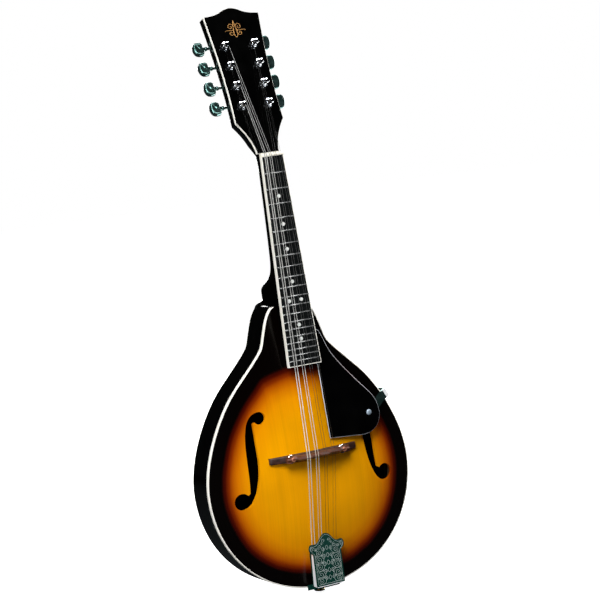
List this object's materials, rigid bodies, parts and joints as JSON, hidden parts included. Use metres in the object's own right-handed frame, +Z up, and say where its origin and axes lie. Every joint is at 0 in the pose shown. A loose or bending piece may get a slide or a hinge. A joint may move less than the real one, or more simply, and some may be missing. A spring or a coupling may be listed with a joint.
{
  "type": "mandolin",
  "caption": "Arched-top mandolin with f-holes, a bound pear-shaped body, four double courses of strings, geared tuners and an adjustable bridge.",
  "frame": {"origin": "middle of the headstock's shoulders, at half its thickness, where a hanger holds the instrument", "axes": "+Z up the body's centreline towards the headstock, -Y out of the strings, +X towards the treble side"},
  "size_m": [0.2688, 0.1083, 0.7046],
  "materials": {
    "sunburst_spruce": "gloss lacquer, sunburst from amber to black",
    "black_lacquer": "gloss black lacquer",
    "bare_wood": "unfinished",
    "cream_binding": "gloss",
    "steel": "brushed",
    "ebonised_board": "satin",
    "bone": "satin",
    "black_plastic": "gloss",
    "chrome": "polished, dark reflections",
    "nickel": "polished and engraved, dark reflections",
    "rosewood": "satin",
    "brass": "knurled",
    "wound_string": "fine winding",
    "plain_string": "polished"
  },
  "bodies": {
    "instrument": {"headplate": "black_lacquer", "headstock_binding": "cream_binding", "tuner_plate_bass": "nickel", "tuner_plate_treble": "nickel", "neck": "black_lacquer", "neck_rod": "steel", "board_support": "black_lacquer", "fingerboard": "ebonised_board", "fingerboard_binding": "cream_binding", "nut": "bone", "pickguard": "black_plastic", "pickguard_screw": "chrome", "soundboard": "sunburst_spruce", "back_plate": "black_lacquer", "ribs": "black_lacquer", "top_binding": "cream_binding", "back_binding": "cream_binding", "top_lining": "bare_wood", "back_lining": "bare_wood", "tail_block": "bare_wood", "head_block": "bare_wood", "tone_bar_treble": "bare_wood", "tone_bar_bass": "bare_wood", "bridge_base": "rosewood", "bridge_stud_bass": "brass", "bridge_stud_treble": "brass", "tailpiece_base": "nickel", "end_pin": "chrome", "pickguard_bracket": "chrome", "string_1": "wound_string", "string_2": "wound_string", "string_3": "wound_string", "string_4": "wound_string", "string_5": "plain_string", "string_6": "plain_string", "string_7": "plain_string", "string_8": "plain_string"},
    "post_bass_1": {"post_bass_1": "chrome"},
    "button_bass_1": {"button_bass_1": "chrome"},
    "post_bass_2": {"post_bass_2": "chrome"},
    "button_bass_2": {"button_bass_2": "chrome"},
    "post_bass_3": {"post_bass_3": "chrome"},
    "button_bass_3": {"button_bass_3": "chrome"},
    "post_bass_4": {"post_bass_4": "chrome"},
    "button_bass_4": {"button_bass_4": "chrome"},
    "post_treble_1": {"post_treble_1": "chrome"},
    "button_treble_1": {"button_treble_1": "chrome"},
    "post_treble_2": {"post_treble_2": "chrome"},
    "button_treble_2": {"button_treble_2": "chrome"},
    "post_treble_3": {"post_treble_3": "chrome"},
    "button_treble_3": {"button_treble_3": "chrome"},
    "post_treble_4": {"post_treble_4": "chrome"},
    "button_treble_4": {"button_treble_4": "chrome"},
    "bridge_saddle": {"saddle": "rosewood"},
    "thumbwheel_bass": {"thumbwheel_bass": "brass"},
    "thumbwheel_treble": {"thumbwheel_treble": "brass"},
    "tailpiece_cover": {"tailpiece_cover": "nickel"}
  },
  "joints": [
    {"name": "button_bass_1_turn", "type": "hinge", "parent": "instrument", "child": "button_bass_1", "pos_m": [-0.01796, 0.02649, 0.04134], "axis": [-0.9998, -0.0063, -0.02], "continuous": true},
    {"name": "post_bass_1_turn", "type": "hinge", "parent": "instrument", "child": "post_bass_1", "pos_m": [-0.0178, 0.00437, 0.04036], "axis": [0, -0.9535, 0.3014], "continuous": true},
    {"name": "button_bass_2_turn", "type": "hinge", "parent": "instrument", "child": "button_bass_2", "pos_m": [-0.01849, 0.03411, 0.06545], "axis": [-0.9998, -0.0063, -0.02], "continuous": true},
    {"name": "post_bass_2_turn", "type": "hinge", "parent": "instrument", "child": "post_bass_2", "pos_m": [-0.01833, 0.01199, 0.06448], "axis": [0, -0.9535, 0.3014], "continuous": true},
    {"name": "button_bass_3_turn", "type": "hinge", "parent": "instrument", "child": "button_bass_3", "pos_m": [-0.01902, 0.04174, 0.08957], "axis": [-0.9998, -0.0063, -0.02], "continuous": true},
    {"name": "post_bass_3_turn", "type": "hinge", "parent": "instrument", "child": "post_bass_3", "pos_m": [-0.01886, 0.01961, 0.0886], "axis": [0, -0.9535, 0.3014], "continuous": true},
    {"name": "button_bass_4_turn", "type": "hinge", "parent": "instrument", "child": "button_bass_4", "pos_m": [-0.01955, 0.04936, 0.11369], "axis": [-0.9998, -0.0063, -0.02], "continuous": true},
    {"name": "post_bass_4_turn", "type": "hinge", "parent": "instrument", "child": "post_bass_4", "pos_m": [-0.01939, 0.02724, 0.11272], "axis": [0, -0.9535, 0.3014], "continuous": true},
    {"name": "button_treble_1_turn", "type": "hinge", "parent": "instrument", "child": "button_treble_1", "pos_m": [0.01796, 0.02649, 0.04134], "axis": [0.9998, -0.0063, -0.02], "continuous": true},
    {"name": "post_treble_1_turn", "type": "hinge", "parent": "instrument", "child": "post_treble_1", "pos_m": [0.0178, 0.00437, 0.04036], "axis": [0, -0.9535, 0.3014], "continuous": true},
    {"name": "button_treble_2_turn", "type": "hinge", "parent": "instrument", "child": "button_treble_2", "pos_m": [0.01849, 0.03411, 0.06545], "axis": [0.9998, -0.0063, -0.02], "continuous": true},
    {"name": "post_treble_2_turn", "type": "hinge", "parent": "instrument", "child": "post_treble_2", "pos_m": [0.01833, 0.01199, 0.06448], "axis": [0, -0.9535, 0.3014], "continuous": true},
    {"name": "button_treble_3_turn", "type": "hinge", "parent": "instrument", "child": "button_treble_3", "pos_m": [0.01902, 0.04174, 0.08957], "axis": [0.9998, -0.0063, -0.02], "continuous": true},
    {"name": "post_treble_3_turn", "type": "hinge", "parent": "instrument", "child": "post_treble_3", "pos_m": [0.01886, 0.01961, 0.0886], "axis": [0, -0.9535, 0.3014], "continuous": true},
    {"name": "button_treble_4_turn", "type": "hinge", "parent": "instrument", "child": "button_treble_4", "pos_m": [0.01955, 0.04936, 0.11369], "axis": [0.9998, -0.0063, -0.02], "continuous": true},
    {"name": "post_treble_4_turn", "type": "hinge", "parent": "instrument", "child": "post_treble_4", "pos_m": [0.01939, 0.02724, 0.11272], "axis": [0, -0.9535, 0.3014], "continuous": true},
    {"name": "saddle_lift", "type": "slide", "parent": "instrument", "child": "bridge_saddle", "axis": [0, -1, 0], "range_m": [-0.0005, 0.003], "deforming": ["string_1", "string_2", "string_3", "string_4", "string_5", "string_6", "string_7", "string_8"]},
    {"name": "thumbwheel_bass_turn", "type": "hinge", "parent": "bridge_saddle", "child": "thumbwheel_bass", "pos_m": [-0.034, -0.0395, -0.37586], "axis": [0, -1, 0], "range_deg": [-230, 1365]},
    {"name": "thumbwheel_treble_turn", "type": "hinge", "parent": "bridge_saddle", "child": "thumbwheel_treble", "pos_m": [0.034, -0.0395, -0.37586], "axis": [0, -1, 0], "range_deg": [-230, 1365]},
    {"name": "tailpiece_cover_slide", "type": "slide", "parent": "instrument", "child": "tailpiece_cover", "axis": [0, -0.2046, 0.9788], "range_m": [0, 0.024]}
  ],
  "couplings": [
    {"joint": "post_bass_1_turn", "follows": "button_bass_1_turn", "ratio": -0.071429},
    {"joint": "post_bass_2_turn", "follows": "button_bass_2_turn", "ratio": -0.071429},
    {"joint": "post_bass_3_turn", "follows": "button_bass_3_turn", "ratio": -0.071429},
    {"joint": "post_bass_4_turn", "follows": "button_bass_4_turn", "ratio": -0.071429},
    {"joint": "post_treble_1_turn", "follows": "button_treble_1_turn", "ratio": 0.071429},
    {"joint": "post_treble_2_turn", "follows": "button_treble_2_turn", "ratio": 0.071429},
    {"joint": "post_treble_3_turn", "follows": "button_treble_3_turn", "ratio": 0.071429},
    {"joint": "post_treble_4_turn", "follows": "button_treble_4_turn", "ratio": 0.071429},
    {"joint": "thumbwheel_bass_turn", "follows": "saddle_lift", "rad_per_m": 7913.3},
    {"joint": "thumbwheel_treble_turn", "follows": "saddle_lift", "rad_per_m": 7913.3}
  ]
}
